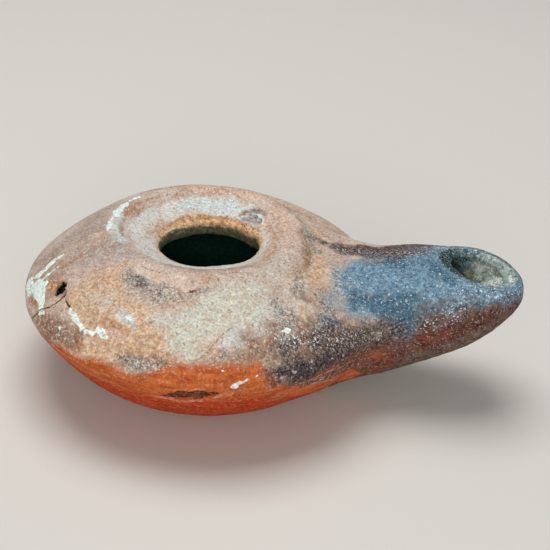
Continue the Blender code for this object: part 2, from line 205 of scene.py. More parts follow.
# Dark grey-black speckled bands under the nozzle's root and along its far side.
DARK_BANDS = (
    ((278, 374, 2.0), (302, 366, 2.8), (326, 355, 2.6), (350, 344, 2.0), (376, 341, 1.6), (402, 337, 1.8)),
    ((310, 344, 1.6), (334, 335, 2.0), (364, 334, 1.4), (384, 326, 1.6), (398, 330, 1.4)),
    ((316, 238, 0.6), (330, 245, 1.2), (348, 250, 2.0), (370, 252, 2.8), (394, 252, 2.8), (422, 251, 1.0)),
    ((134, 278, 0.5), (142, 285, 0.8)),
    ((282, 352, 1.2), (296, 346, 1.4), (308, 340, 1.2)),
    ((398, 348, 0.8), (412, 341, 0.5)),
    ((268, 373, 0.8), (284, 379, 1.0), (300, 378, 1.0)),
)
# A near-black patch low under the nozzle's root.
BLACK_PATCH = (
    ((275, 371, 0.9), (288, 373, 1.6), (304, 371, 1.6), (322, 365, 1.2), (338, 357, 0.7)),
    ((284, 381, 0.6), (298, 381, 0.8), (312, 378, 0.5)),
)
SCRAPED_EDGE = (
    ((50, 288, 0.7), (56, 287, 0.8), (62, 283.5, 0.5)),
    ((162, 236, 0.4), (168, 227, 0.6), (181, 220, 0.7), (200, 217, 0.75), (220, 218, 0.7), (238, 222, 0.8)),
    ((240, 222.5, 0.5), (249, 225, 0.6), (256, 231, 0.5)),
)
SPALL = (
    ((240.5, 213.5, 0.3), (246, 212.5, 0.9), (252, 211.5, 1.2), (258, 212.5, 1.2), (262.5, 216, 0.7)),
    ((243.5, 217.5, 0.5), (250, 218, 0.9), (256, 219.5, 0.9), (261, 221, 0.4)),
)
SPALL_LIP = (
    ((254, 212, 0.16), (259.3, 214, 0.3), (263, 218, 0.32), (262.5, 224, 0.24)),
    ((247, 231, 0.1), (252.5, 231.5, 0.14)),
)
# Painted highlights: a light pink line along the lamp's lowest edge and on ridges under the nozzle.
PAINTED_EDGE_HIGHLIGHTS = (
    ((146, 395, 0.2), (158, 397, 0.35), (170, 399.5, 0.45), (186, 402, 0.5), (200, 401, 0.35)),
    ((215, 397, 0.4), (221, 395, 0.6), (228, 394.5, 0.6), (234, 392, 0.3), (250, 388.5, 0.2)),
    ((168, 391, 0.12), (186, 389.5, 0.2), (204, 390, 0.2)),
    ((338, 377.5, 0.1), (346, 375, 0.16), (354, 372, 0.1)),
    ((306, 381.5, 0.1), (312, 379, 0.2), (322, 373.5, 0.25), (334, 369, 0.25), (350, 362.5, 0.15)),
    ((271, 398, 0.15), (284, 392, 0.25), (291, 390, 0.15)),
)
GLINTS = (
    ((444, 290, 0.8), (478, 292, 1.2), (506, 291, 1.8), (519, 286, 2.0)),
    ((424, 250, 0.9), (445, 247, 1.4), (470, 249, 0.8), (496, 256, 0.7)),
    ((420, 329, 1.0), (442, 319, 1.5), (464, 308, 1.3)),
    ((268, 334, 1.0), (290, 338, 1.4), (330, 342, 1.0), (352, 337, 1.0), (378, 334, 0.8)),
    ((330, 249, 1.2), (356, 251, 0.7), (404, 252, 0.4), (420, 253, 1.0)),
)
GOUGE = (
    ((164, 397, 0.3), (174, 396.5, 1.0), (184, 395.5, 1.7), (194, 396, 1.8), (202, 395, 1.3)),
    ((202, 395, 1.3), (209, 394.5, 0.7), (217, 394, 0.5)),
)
# A shallow pit, painted near-black as the shade inside it.
PIT_SHADE = (
    ((56.8, 292.8, 0.45), (60.5, 289.5, 0.75), (63.6, 284.5, 0.6)),
)
CRACK = (
    ((64, 295.5, 0.18), (60, 299, 0.2), (55.3, 302.8, 0.2), (48.7, 306.7, 0.18)),
    ((48.7, 306.7, 0.18), (43, 308.9, 0.17), (38.7, 311.1, 0.15)),
    ((38.7, 311.1, 0.15), (34.2, 315.6, 0.2), (31.4, 319.2, 0.18)),
    ((64.2, 294.4, 0.1), (64.8, 299.4, 0.1), (67, 303.9, 0.16), (69.8, 307.2, 0.18)),
    ((222, 273.5, 0.07), (236, 272, 0.11), (248, 271.5, 0.08)),
    ((134, 262.5, 0.06), (146, 268, 0.1), (160, 272.5, 0.07)),
    ((188, 292, 0.12), (192, 291, 0.28), (197, 289.5, 0.12)),
    ((240.7, 222.7, 0.12), (244.7, 226, 0.14), (246.7, 229.5, 0.12)),
    ((243, 219.5, 0.06), (252, 221.5, 0.08), (258, 223, 0.06)),
)
# Painted shadows: dark lines along small steps, such as the pale film's lower edge and the spall's upper
# edge.
FLAKE_EDGE_SHADOW = (
    ((184, 361, 0.04), (196, 361, 0.09), (207, 353, 0.09), (213, 345, 0.11), (221, 336, 0.09)),
    ((221, 336, 0.09), (230, 329, 0.1), (240, 325, 0.06)),
    ((304, 383, 0.05), (318, 374, 0.08), (334, 367, 0.06)),
    ((76.5, 334, 0.05), (77.5, 345, 0.06)),
    ((240.5, 212.5, 0.06), (246, 209.5, 0.1), (254, 208, 0.12), (262, 209.5, 0.1), (265.5, 214, 0.06)),
)

# Marks: finish, runs, how far its edge wanders broadly and finely, and how soft it is
MARKS = (
    ("orange", ORANGE_CLAY, 1.3, 0.5, 2.4),
    ("haze", HAZE, 1.6, 0.5, 3.0),
    ("film", PALE_FILM, 1.8, 0.7, 2.3),
    ("bloom", BLOOM, 1.5, 0.5, 2.2),
    ("fresh", PALE_CLAY_AND_RIM_LIGHT, 1.4, 0.6, 2.2),
    ("frost", FROST, 1.2, 0.5, 1.9),
    ("rust", RUST, 0.3, 0.3, 0.45),
    ("brown", BROWN_PATCH, 1.1, 0.6, 1.6),
    ("grey", SPECKLED_GREY, 1.0, 0.6, 1.3),
    ("soot", SOOT, 1.8, 0.7, 3.2),
    ("slate", SLATE, 1.0, 0.4, 1.4),
    ("scorched", SCORCHED, 0.7, 0.5, 1.2),
    ("umber", UMBER, 0.9, 0.6, 1.5),
    ("char", DARK_BANDS, 1.1, 0.6, 1.9),
    ("black", BLACK_PATCH, 0.8, 0.6, 1.3),
    ("scraped", SCRAPED_EDGE, 0.2, 0.4, 0.5),
    ("spall", SPALL, 0.3, 0.5, 0.25),
    ("lip", SPALL_LIP, 0.0, 0.1, 0.2),
    ("pink", PAINTED_EDGE_HIGHLIGHTS, 0.0, 0.3, 0.35),
    ("gouge", GOUGE, 0.3, 0.5, 0.45),
    ("pit", PIT_SHADE, 0.0, 0.1, 0.25),
    ("lime", LIME_CRUST, 0.1, 0.5, 0.3),
    ("crack", CRACK, 0.0, 0.06, 0.14),
    ("flake", FLAKE_EDGE_SHADOW, 0.0, 0.06, 0.14),
    ("glints", GLINTS, 0.8, 0.3, 1.8),
    ("bare", BARE_NOZZLE, 0.6, 0.3, 1.2),
)
FINE_MARKS = ("crack", "flake", "lime", "lip", "pit")

# Patterns: name, height of the largest forms, how much longer than high they are, fineness of detail, and
# the values of the noise that count as none and all. Real grit is 0.1 to 0.4 mm, and its smallest grains
# would not show, so it is drawn as coarse as the largest ones.
PATTERNS = (
    ("broad", 8.0, 1.0, 4.0, 0.37, 0.63),
    ("blotch", 2.4, 1.0, 4.0, 0.35, 0.65),
    ("crumbs", 0.85, 1.0, 3.0, 0.31, 0.69),
    ("grit", 0.42, 1.0, 2.0, 0.31, 0.69),
    ("streaks", 0.8, 5.0, 4.0, 0.33, 0.67),
)
PATTERN_STEP = (0.1, 0.2, 0.3)   # metres from each pattern's place to the next one's, so that none match
PATTERN_ROUGHNESS = 0.6          # how strong the detail is beside the largest forms
GRIT_SHADE = 0.22                # how much lighter and darker single grains are
ROUGHNESS = 0.78
SPECULAR = 0.08
BUMP_HEIGHT = 0.12
BUMP_STRENGTH = 0.8
CRUMB_SHARE = 0.8                # how high crumbs stand beside grit

CLAY = ("#ad917e", "#cfbcae")    # buff to pink earthenware
# Coats over the clay: finish, darker and lighter colour, the pattern that mixes them, how far patterns
# break up the coat's edge, how soft the edge is and how much of the coat is left
COATS = (
    ("discus", "#c7c5bf", "#dfdfda", "blotch", 0.9, 0.35, 0.92),
    ("haze", "#9a857b", "#b9ada6", "blotch", 1.0, 0.45, 0.85),
    ("orange", "#ab7b53", "#dfc3a4", "crumbs", 1.2, 0.45, 0.9),
    ("bloom", "#bbb0a2", "#d3ccc2", "crumbs", 1.4, 0.45, 0.75),
    # Pinkish clay with painted rim light along the far top edge.
    ("fresh", "#c0997d", "#e3cab7", "crumbs", 1.4, 0.45, 0.85),
    ("film", "#b7b8a9", "#d0d3c8", "crumbs", 1.2, 0.45, 0.9),
    ("frost", "#bfc8c8", "#d2dcdb", "crumbs", 1.2, 0.35, 0.9),
    ("rust", "#92593a", "#b57f52", "crumbs", 1.6, 0.35, 0.7),
    ("brown", "#6d4f3f", "#a08270", "crumbs", 1.2, 0.45, 0.92),
    ("grey", "#4a4844", "#b9b4ab", "grit", 1.4, 0.4, 0.85),
    # Bare orange clay, its red deepened as painted red light reflected from below.
    ("bare_clay_and_red_bounce", "#a24a20", "#c86f3c", "streaks", 0.4, 0.35, 1.0),
    # The lowest clay: painted red reflected light, redder and darker towards the bottom.
    ("low", "#92280d", "#bf4a1d", "streaks", 0.3, 0.45, 1.0),
    ("smoke", "#34241f", "#7d645b", "crumbs", 1.0, 0.4, 1.0),
    ("umber", "#331d18", "#70473b", "crumbs", 0.8, 0.35, 0.95),
    ("scorched", "#4e281d", "#8a523f", "streaks", 0.5, 0.35, 0.95),
    ("bare", "#983a1b", "#d06c3e", "streaks", 0.6, 0.35, 1.0),
    ("soot", "#456880", "#86a6ba", "crumbs", 0.8, 0.4, 0.97),
    ("slate", "#284558", "#587a8e", "grit", 1.2, 0.4, 0.85),
    ("char", "#161212", "#75645f", "grit", 1.4, 0.4, 0.92),
    ("black", "#181719", "#544b4d", "grit", 1.0, 0.4, 0.92),
    ("scraped", "#98693b", "#d8ae84", "crumbs", 1.0, 0.3, 1.0),
    ("spall", "#6b6a69", "#bab9b6", "crumbs", 0.5, 0.25, 1.0),
    ("lip", "#c2cfc6", "#eaf2ec", "crumbs", 0.6, 0.2, 0.95),
    # Painted highlights along edges and ridges, light pink.
    ("pink", "#b2603f", "#da9073", "crumbs", 0.8, 0.25, 0.9),
    ("gouge", "#431c14", "#7c4334", "streaks", 0.6, 0.25, 1.0),
    # The inner face: painted shade, near-black green.
    ("hollow", "#113931", "#1f4c41", "crumbs", 0.0, 0.2, 1.0),
    # The filling hole's wall under its worn edge: painted shade, dark olive.
    ("wall", "#4a5440", "#828263", "crumbs", 0.4, 0.2, 1.0),
    ("edge", "#ad7642", "#f1cea0", "crumbs", 0.8, 0.3, 1.0),
    ("wick", "#34494a", "#7b9392", "crumbs", 0.6, 0.2, 1.0),
    # Ash, dust and silt in the wick hole: pale deposits, painted lighter as painted light to lift its
    # shade.
    ("ash_and_painted_light", "#6c8181", "#bbc4b6", "crumbs", 1.0, 0.4, 0.95),
    # Painted shade in the wick hole, on the body's side and under its rim.
    ("wick_hole_painted_shade", "#1a2c2b", "#384f4e", "crumbs", 0.8, 0.4, 0.95),
    # Dust and silt in the wick hole, also painted light.
    ("dust_and_painted_light", "#93a5a0", "#f0f3e6", "crumbs", 0.8, 0.4, 1.0),
    ("silt_and_painted_light", "#76765a", "#b5b08c", "crumbs", 0.8, 0.4, 0.95),
    # Painted shade inside the pit, near-black.
    ("pit", "#0e0d0b", "#1c1915", "crumbs", 0.0, 0.2, 1.0),
    ("lime", "#d0e6df", "#f4fffb", "crumbs", 0.5, 0.14, 1.0),
    # Painted shadow along small steps, dark brown.
    ("flake", "#6d4f3b", "#8a6950", "crumbs", 0.4, 0.3, 0.8),
    ("crack", "#3a1d12", "#74452e", "crumbs", 0.2, 0.2, 1.0),
)
# Flecks in the clay and its coats: finish that they lie in, size, how rare they are, colour and strength.
# The smallest stand for single grains, and are drawn as coarse as the grit.
FLECKS = (
    ("clay", 0.6, 0.66, "#7b5b47", 0.5),
    ("clay", 0.45, 0.675, "#efeae0", 0.45),
    ("clay", 1.3, 0.65, "#b97e52", 0.35),
    ("clay", 0.8, 0.62, "#e6d3bd", 0.4),
    ("film", 1.4, 0.62, "#c0b096", 0.4),
    ("bare_clay_and_red_bounce", 1.7, 0.62, "#8a4227", 0.3),
    ("bare_clay_and_red_bounce", 0.45, 0.69, "#e0a883", 0.35),
    ("grey", 0.45, 0.65, "#dcd8d0", 0.6),
    ("brown", 0.45, 0.68, "#d3c9bd", 0.5),
    ("soot", 0.5, 0.66, "#22384a", 0.6),
    ("soot", 0.42, 0.66, "#c6d8e4", 0.7),
    ("soot", 1.4, 0.65, "#7f8f92", 0.4),
    ("smoke", 0.45, 0.675, "#8f989e", 0.7),
    ("char", 0.45, 0.66, "#b5adaa", 0.45),
    ("char", 0.9, 0.68, "#d5cfca", 0.45),
    ("umber", 0.45, 0.65, "#ae9a95", 0.6),
    ("wick", 0.55, 0.64, "#1d3231", 0.55),
    ("wick", 0.5, 0.67, "#c2cabd", 0.5),
    ("glints", 0.42, 0.635, "#ecf4fc", 0.8),
)
FLECK_PLACE = (1.1, 0.7, 0.4)    # metres, where the first flecks' noise is taken from
FLECK_STEP = 0.1                 # metres along X to the next one's
FLECK_DETAIL = 1.0
FLECK_EDGE = 0.02                # half of the rise in the noise's value at a fleck's edge

# Cloudy noise: how large its largest forms are, its octaves and its seed
MARK_WANDER = (4.0, 3, 11.0)     # broad turns in the marks' edges
MARK_RIPPLE = (1.4, 2, 12.0)     # and fine ones
FORM_WANDER = (4.0, 3, 13.0)     # turns in the edges of finishes that follow the form
WAVES = (17.0, 2, 1.0)           # unevenness of the whole wall
DENTS = (5.0, 3, 2.0)
GRAIN = (1.5, 3, 3.0)

# Relief
WAVE_HEIGHT = 0.16
DENT_HEIGHT = 0.09
GRAIN_HEIGHT = 0.03
ROUGH_GRAIN = 0.05               # added to it where smoke, grit or wear has made the clay rough
WORN_GRAIN = 1.5                 # how much of that worn edges get
LIME_GRAIN = 0.12
FOOT_EDGE = 1.5                  # the foot stays flat: relief is at its full height from here up
# How far finishes stand out from the clay, or lie back in it
HEIGHTS = (
    ("lime", 0.22),
    ("film", 0.10),
    ("frost", 0.06),
    ("lip", 0.16),
    ("grey", -0.10),
    ("spall", -0.50),
    ("scraped", -0.25),
    ("gouge", -0.40),
    ("crack", -0.30),
    ("flake", -0.12),
    ("pit", -1.2),
)

# Finishes that follow the form. A pair says where one starts or ends, and over what length it fades.
SMOKE_FROM = (31.0, 7.0)         # along the nozzle
SMOKE_WANDER = 3.0
SMOKE_LOW = 13.0                 # below this height it starts nearer to the body
SMOKE_NEARER = 8.0               # by no more than this
# The bare orange clay below is also painted redder, for red light reflected onto the underside.
EMBER_WIDTH = 2.4                # the bare orange clay's upper edge is this soft
EMBER_WANDER = 0.5               # and wanders this far where the photograph shows it
EMBER_STRAYING = 1.6             # added to that where it doesn't
EMBER_STRAY_FROM = (0.0, 12.0)   # across the lamp
EMBER_BEHIND = 13.0              # how high it reaches where the photograph doesn't show it
EMBER_UNDER = 5.0                # and under the nozzle
EMBER_TO = (44.0, 12.0)          # along the nozzle
EMBER_HIDES = 0.75               # how much of the clay's own flecks it hides
RED_BOUNCE_BELOW = (16.5, 5.5)          # the lowest clay is painted redder and darker towards the bottom, for red light reflected from below
NOZZLE_TURN = 0.35               # radians, from the middle of the nozzle to its side
RING_SHIFT = -0.8                # from the axis to the ring's middle, along the nozzle
DISCUS_WITHIN = (15.5, 1.6)      # of the ring's middle
DISCUS_ABOVE = (24.0, 2.0)
WALL_FACING = (0.35, 0.3)        # how far the filling hole's wall faces the axis
WALL_WITHIN = (11.5, 1.0)        # of the axis
WALL_ABOVE = (22.0, 1.0)
EDGE_HEIGHT = 26.1               # the filling hole's worn edge lies above this, and its wall below is painted dark olive as shade
EDGE_WANDER = 0.2
EDGE_WIDTH = 0.5
FLOOR_REACH = 10.0               # nothing outside that is lower than this faces up
WICK_FLOOR_REACH = 24.5          # nor is anything under the wick hole's outline
WICK_CENTRE = 52.6
WICK_HALF_LENGTH = 7.7
WICK_HALF_WIDTH = 6.5
WICK_EDGE = 0.08                 # share of its size over which its outline fades
WICK_FACING = (-0.4, 0.2)        # how far its wall may face down
CHANNEL_FROM = (41.0, 4.0)       # from here on the inside of the nozzle takes the wick hole's colours: ash, and painted light so that it shows
# What shows in the wick hole: pale dust, tan silt and ash along the nozzle, also painted light that lifts
# its shade, with less of the dust high up, and painted shade on the body's side and under the rim
DUST_FROM = (49.5, 4.0)
DUST_THIN_ABOVE = (24.2, 1.8)
DUST_THINNED = 0.6
SILT_FROM = (47.5, 2.0)
SILT_TO = (53.0, 3.0)
SILT_BELOW = (24.6, 1.2)
ASH_FROM = (51.0, 5.0)
ASH_WANDER = 2.0
SHADE_NEAR_BODY_TO = (50.3, 3.0)
SHADE_THINNED_INSIDE = 0.8             # on the inner face
RIM_SHADE = 0.8
RIM_SHADE_FROM = (46.0, 2.0)
RIM_SHADE_ABOVE = (25.0, 1.2)
HEIGHT_WANDER = 0.5
# Ash and clay narrow the hollow under the wick hole to a funnel: its floor slopes up to the tip
FUNNEL_START = 45.0
FUNNEL_FADE = 3.0
FUNNEL_END = 59.0
FUNNEL_TOP = 26.0
FUNNEL_SLOPE = 0.85
FUNNEL_CENTRE = 53.2
FUNNEL_HALF_LENGTH = 6.2
FUNNEL_HALF_WIDTH = 5.3
FUNNEL_TAPER = 0.03              # share by which it narrows with each millimetre of depth
RIM_DEEPER = 0.9                 # the filling hole's upright wall reaches this much further down
RIM_WITHIN = (12.5, 2.5)         # of the axis
RIM_BELOW = (26.2, 1.5)
# The filling hole's worn edge: from and to which turn in degrees, how softly it starts and ends, how far
MOUTH_WORN = (
    (-70.0, 36.0, 30.0, 4.0, 0.85),
    (135.0, 215.0, 20.0, 20.0, 0.4),
)
WORN_WITHIN = (13.5, 3.0)        # of the axis
WORN_ABOVE = (23.5, 1.5)
# The lamp is fuller than its solid along the crease under the nozzle's root, on both sides
SWELL_RUN = ((25.6, -13.1, 9.1, 0.0), (23.5, -8.1, 5.4, 0.0))
SWELL = (0.36, -0.98, -1.48)     # how far and which way, on the side nearest the camera
SWELL_REACH = 5.7
SWELL_SIDE = 4.0                 # its sideways part grows over this far from the lamp's middle plane

# Studio
FLOOR_SIZE = 3000.0
FLOOR_COLOUR = "#d9d5ce"
FLOOR_ROUGHNESS = 0.9
LAMP_MIDDLE = (12.0, 0.0, 15.0)
KEY_PLACE = (-60.0, 140.0, 620.0)
KEY_SIZE = 420.0
KEY_POWER = 2.9                  # watts
KEY_COLOUR = "#ffffff"
FILL_PLACE = (60.0, -560.0, 170.0)
FILL_SIZE = 420.0
FILL_POWER = 2.3
FILL_COLOUR = "#fffaf4"
SURROUND_COLOUR = "#eef2f8"
SURROUND_STRENGTH = 0.26


def smooth(value):
    """Zero below 0, one above 1, and an even rise between them."""
    held = np.clip(value, 0.0, 1.0)
    return held * held * (3.0 - 2.0 * held)


def above(value, start, width):
    """Zero up to a start, and one from a width beyond it."""
    return smooth((value - start) / width)


def below(value, end, width):
    """One up to a width before an end, and zero from there on."""
    return smooth((end - value) / width)


def photo_camera():
    """The camera at the photograph's place."""
    turn = Matrix.Rotation(radians(CAMERA_TURN), 4, "Z")
    tilt = Matrix.Rotation(radians(90.0 - CAMERA_ELEVATION), 4, "X")
    roll = Matrix.Rotation(radians(CAMERA_ROLL), 4, "Z")
    data = bpy.data.cameras.new("photo_camera")
    data.lens = LENS
    data.sensor_width = SENSOR
    camera = bpy.data.objects.new("photo_camera", data)
    camera.matrix_world = Matrix.Translation(Vector(CAMERA_PLACE) * MM) @ turn @ tilt @ roll
    bpy.context.scene.collection.objects.link(camera)
    bpy.context.scene.camera = camera
    return camera


def pick(piece):
    """Selects one piece alone and makes it the active one."""
    bpy.ops.object.select_all(action="DESELECT")
    piece.select_set(True)
    bpy.context.view_layer.objects.active = piece


def copy_of(node, name):
    """A copy of a solid as a piece of its own, its loose triangles joined to one surface."""
    piece = bpy.data.objects.new(name, node.data.copy())
    bpy.context.scene.collection.objects.link(piece)
    pick(piece)
    bpy.ops.object.mode_set(mode="EDIT")
    bpy.ops.mesh.select_all(action="SELECT")
    bpy.ops.mesh.remove_doubles(threshold=JOIN_DISTANCE * MM)
    bpy.ops.mesh.tris_convert_to_quads()
    bpy.ops.object.mode_set(mode="OBJECT")
    return piece


def apply_modifier(piece, kind, **settings):
    """Adds a modifier with its settings and applies it."""
    pick(piece)
    modifier = piece.modifiers.new(kind.lower(), kind)
    for name, value in settings.items():
        setattr(modifier, name, value)
    bpy.ops.object.modifier_apply(modifier=modifier.name)


def surface_of(piece):
    """The piece's faces, for rays and distances."""
    places = [point.co for point in piece.data.vertices]
    return BVHTree.FromPolygons(places, [face.vertices for face in piece.data.polygons])


def places_of(piece):
    """The places of a mesh's points in millimetres, and which way its surface faces there."""
    data = piece.data
    places = np.empty(len(data.vertices) * 3)
    data.vertices.foreach_get("co", places)
    facing = np.empty(len(data.vertices) * 3)
    data.vertex_normals.foreach_get("vector", facing)
    return places.reshape(-1, 3) / MM, facing.reshape(-1, 3)


def move_to(piece, places):
    """Puts the mesh's points at places in millimetres."""
    piece.data.vertices.foreach_set("co", (places * MM).ravel())
    piece.data.update()


def near_opening(place):
    """Whether a place lies above, below or close around the filling hole or the wick hole."""
    for opening in frame["record"]["physics"]["openings"]:
        if opening["name"] not in ("filling_hole", "wick_hole"):
            continue
        low, high = (Vector(corner) / MM for corner in opening["box_m"])
        if (low.x - OPENING_MARGIN < place.x < high.x + OPENING_MARGIN
                and low.y - OPENING_MARGIN < place.y < high.y + OPENING_MARGIN):
            return True
    return False


def inside_points(piece, surface):
    """Whether each point lies on the inner face, away from the openings."""
    places, facing = places_of(piece)
    inside = np.zeros(len(places), bool)
    for index, (place, direction) in enumerate(zip(places, facing)):
        start = Vector(place) * MM + Vector(direction) * RAY_START * MM
        distance = surface.ray_cast(start, Vector(direction))[3]
        within = distance is not None and distance > INSIDE_REACH * MM
        inside[index] = within and not near_opening(Vector(place))
    return inside


def coarsen_inside(piece, inside):
    """Thins the mesh of the inner face, which hardly shows."""
    group = piece.vertex_groups.new(name="inside")
    group.add([int(index) for index in np.flatnonzero(inside)], 1.0, "REPLACE")
    kept = 1.0 - inside.mean() * (1.0 - INSIDE_SHARE)
    apply_modifier(piece, "DECIMATE", ratio=kept, vertex_group="inside", use_symmetry=False)
    piece.vertex_groups.clear()


def photo_ray(camera, across, down):
    """The ray from the camera through a pixel of the photograph."""
    focal = PHOTO_WIDTH * LENS / SENSOR
    middle = PHOTO_WIDTH / 2
    direction = Vector(((across - middle) / focal, (middle - down) / focal, -1.0))
    return camera.matrix_world.translation, (camera.matrix_world.to_3x3() @ direction).normalized()


def on_lamp(camera, surface, mark):
    """A mark's run of (x, y, z, half width) on the lamp, in millimetres."""
    run = []
    for across, down, half_width in mark:
        place = surface.ray_cast(*photo_ray(camera, across, down))[0]
        if place is not None:
            run.append((*(place / MM), half_width))
    return run


def distance_to(places, runs):
    """How far each place lies outside the nearest of some runs. It is negative within them."""
    nearest = np.full(len(places), FAR)
    for run in runs:
        for start, end in zip(run, run[1:]):
            start_place, end_place = np.array(start[:3]), np.array(end[:3])
            along = end_place - start_place
            share = np.clip((places - start_place) @ along / max(along @ along, TINY), 0.0, 1.0)
            away = np.linalg.norm(places - start_place - share[:, None] * along, axis=1)
            nearest = np.minimum(nearest, away - (start[3] + share * (end[3] - start[3])))
    return nearest


def clouds(places, size, octaves, seed):
    """Cloudy noise from about -1 to 1. Each octave is half as large and half as strong as the last."""
    shift = Vector((seed, 2.0 * seed, 3.0 * seed))
    return np.array([noise.fractal(Vector(place) / size + shift, 1.0, 2.0, octaves) for place in places])


def refine(piece, runs):
    """Makes the mesh finer around the narrow marks."""
    places, _ = places_of(piece)
    near = distance_to(places, runs) < FINE_MARGIN
    for face in piece.data.polygons:
        face.select = bool(near[list(face.vertices)].all())
    pick(piece)
    bpy.ops.object.mode_set(mode="EDIT")
    bpy.ops.mesh.subdivide(number_cuts=1)
    bpy.ops.object.mode_set(mode="OBJECT")


def lamp_skin():
    """The lamp's skin as one even, fine mesh that lies on the solid's own rounded surface."""
    node = frame["nodes"]["oil_lamp"]
    guide = copy_of(node, "guide")
    apply_modifier(guide, "SUBSURF", levels=GUIDE_LEVELS, render_levels=GUIDE_LEVELS,
                   use_limit_surface=False)
    make_fuller(guide)
    skin = copy_of(node, "worn_earthenware")
    apply_modifier(skin, "REMESH", mode="VOXEL", voxel_size=SKIN_SPACING * MM)
    apply_modifier(skin, "SHRINKWRAP", target=guide, wrap_method="NEAREST_SURFACEPOINT")
    coarsen_inside(skin, inside_points(skin, surface_of(guide)))
    return skin, guide


def mark_fields(places, marks):
    """How strongly each marked finish shows at each place, from 0 to 1."""
    wander = clouds(places, *MARK_WANDER)
    ripple = clouds(places, *MARK_RIPPLE)
    fields = {}
    for name, _, wide, fine, softness in MARKS:
        away = distance_to(places, marks[name]) + wide * wander + fine * ripple
        fields[name] = smooth(0.5 - away / (2.0 * softness))
    return fields


def shore_height(places, camera, surface):
    """How high the bare orange clay reaches beside each place, also where the photograph hides it."""
    seen = on_lamp(camera, surface, SHORE)
    turns = [-pi, *[atan2(y, x) for x, y, _, _ in seen], -NOZZLE_TURN, NOZZLE_TURN, 2.0 * NOZZLE_TURN, pi]
    beyond = [EMBER_UNDER, EMBER_UNDER, EMBER_BEHIND, EMBER_BEHIND]
    heights = [EMBER_BEHIND, *[z for _, _, z, _ in seen], *beyond]
    return np.interp(np.arctan2(places[:, 1], places[:, 0]), turns, heights)


def wick_hole(places, facing):
    """One within the outline of the wick hole, on its wall and on what shows through it."""
    x, y, _ = places.T
    out = np.hypot((x - WICK_CENTRE) / WICK_HALF_LENGTH, y / WICK_HALF_WIDTH)
    return smooth((1.0 - out) / WICK_EDGE + 0.5) * above(facing[:, 2], *WICK_FACING)


def mouth_wall(places, facing):
    """One on the upright edge of the clay around the filling hole."""
    x, y, z = places.T
    reach = np.hypot(x, y)
    inward = -(facing[:, 0] * x + facing[:, 1] * y) / np.maximum(reach, LEAST)
    return above(inward, *WALL_FACING) * below(reach, *WALL_WITHIN) * above(z, *WALL_ABOVE)


def hollow(places, facing, surface):
    """One on the inner face, which is painted near-black green as shade."""
    under_wick = wick_hole(places, facing) > 0.5
    reach = np.where(under_wick, WICK_FLOOR_REACH, FLOOR_REACH)
    hidden = ((facing[:, 2] > 0.0) & (places[:, 2] < reach)).astype(float)
    for index, (place, direction) in enumerate(zip(places, facing)):
        start = (Vector(place) + Vector(direction) * RAY_START) * MM
        if surface.ray_cast(start, Vector(direction))[3] is not None:
            hidden[index] = 1.0
    return hidden


def shaped_inside(places, hidden):
    """The places with the hollow narrowed under the wick hole and the filling hole's wall made deeper."""
    x, y, z = places.T
    inner = (hidden > 0.5) & (x > FUNNEL_START)
    floor_height = FUNNEL_TOP - FUNNEL_SLOPE * np.abs(FUNNEL_END - x)
    z = np.where(inner, np.maximum(z, floor_height), z)
    room = 1.0 - FUNNEL_TAPER * np.maximum(FUNNEL_TOP - z, 0.0)
    out = np.hypot((x - FUNNEL_CENTRE) / FUNNEL_HALF_LENGTH, y / FUNNEL_HALF_WIDTH)
    tighter = np.minimum(1.0, room / np.maximum(out, LEAST)) - 1.0
    share = 1.0 + tighter * hidden * above(x, FUNNEL_START, FUNNEL_FADE)
    rim = hidden * below(np.hypot(x, y), *RIM_WITHIN) * below(z, *RIM_BELOW) * above(z, *WALL_ABOVE)
    x, y = FUNNEL_CENTRE + (x - FUNNEL_CENTRE) * share, y * share
    wider = 1.0 + worn_mouth(x, y) * above(z, *WORN_ABOVE) / np.maximum(np.hypot(x, y), LEAST)
    return np.stack([x * wider, y * wider, z - RIM_DEEPER * rim], axis=1)


def worn_mouth(x, y):
    """How far the filling hole's edge has worn back beside each place."""
    turn = np.degrees(np.arctan2(y, x))
    near = below(np.hypot(x, y), *WORN_WITHIN)
    worn = np.zeros(len(x))
    for start, end, soft_start, soft_end, depth in MOUTH_WORN:
        past_start = (turn - start) % 360.0
        until_end = (end - turn) % 360.0
        within = past_start < end - start
        share = smooth(past_start / soft_start) * smooth(until_end / soft_end)
        worn = np.maximum(worn, depth * np.where(within, share, 0.0))
    return worn * near


def make_fuller(guide):
    """Swells the solid's surface where the lamp is fuller than the solid."""
    places, facing = places_of(guide)
    outside = 1.0 - hollow(places, facing, surface_of(guide))
    near_side = np.stack([places[:, 0], -np.abs(places[:, 1]), places[:, 2]], axis=1)
    strength = np.exp(-(distance_to(near_side, [SWELL_RUN]) / SWELL_REACH) ** 2)
    moves = (strength * outside * smooth(places[:, 2] / FOOT_EDGE))[:, None] * SWELL
    moves[:, 1] *= np.clip(places[:, 1] / -SWELL_SIDE, -1.0, 1.0)
    move_to(guide, places + moves)


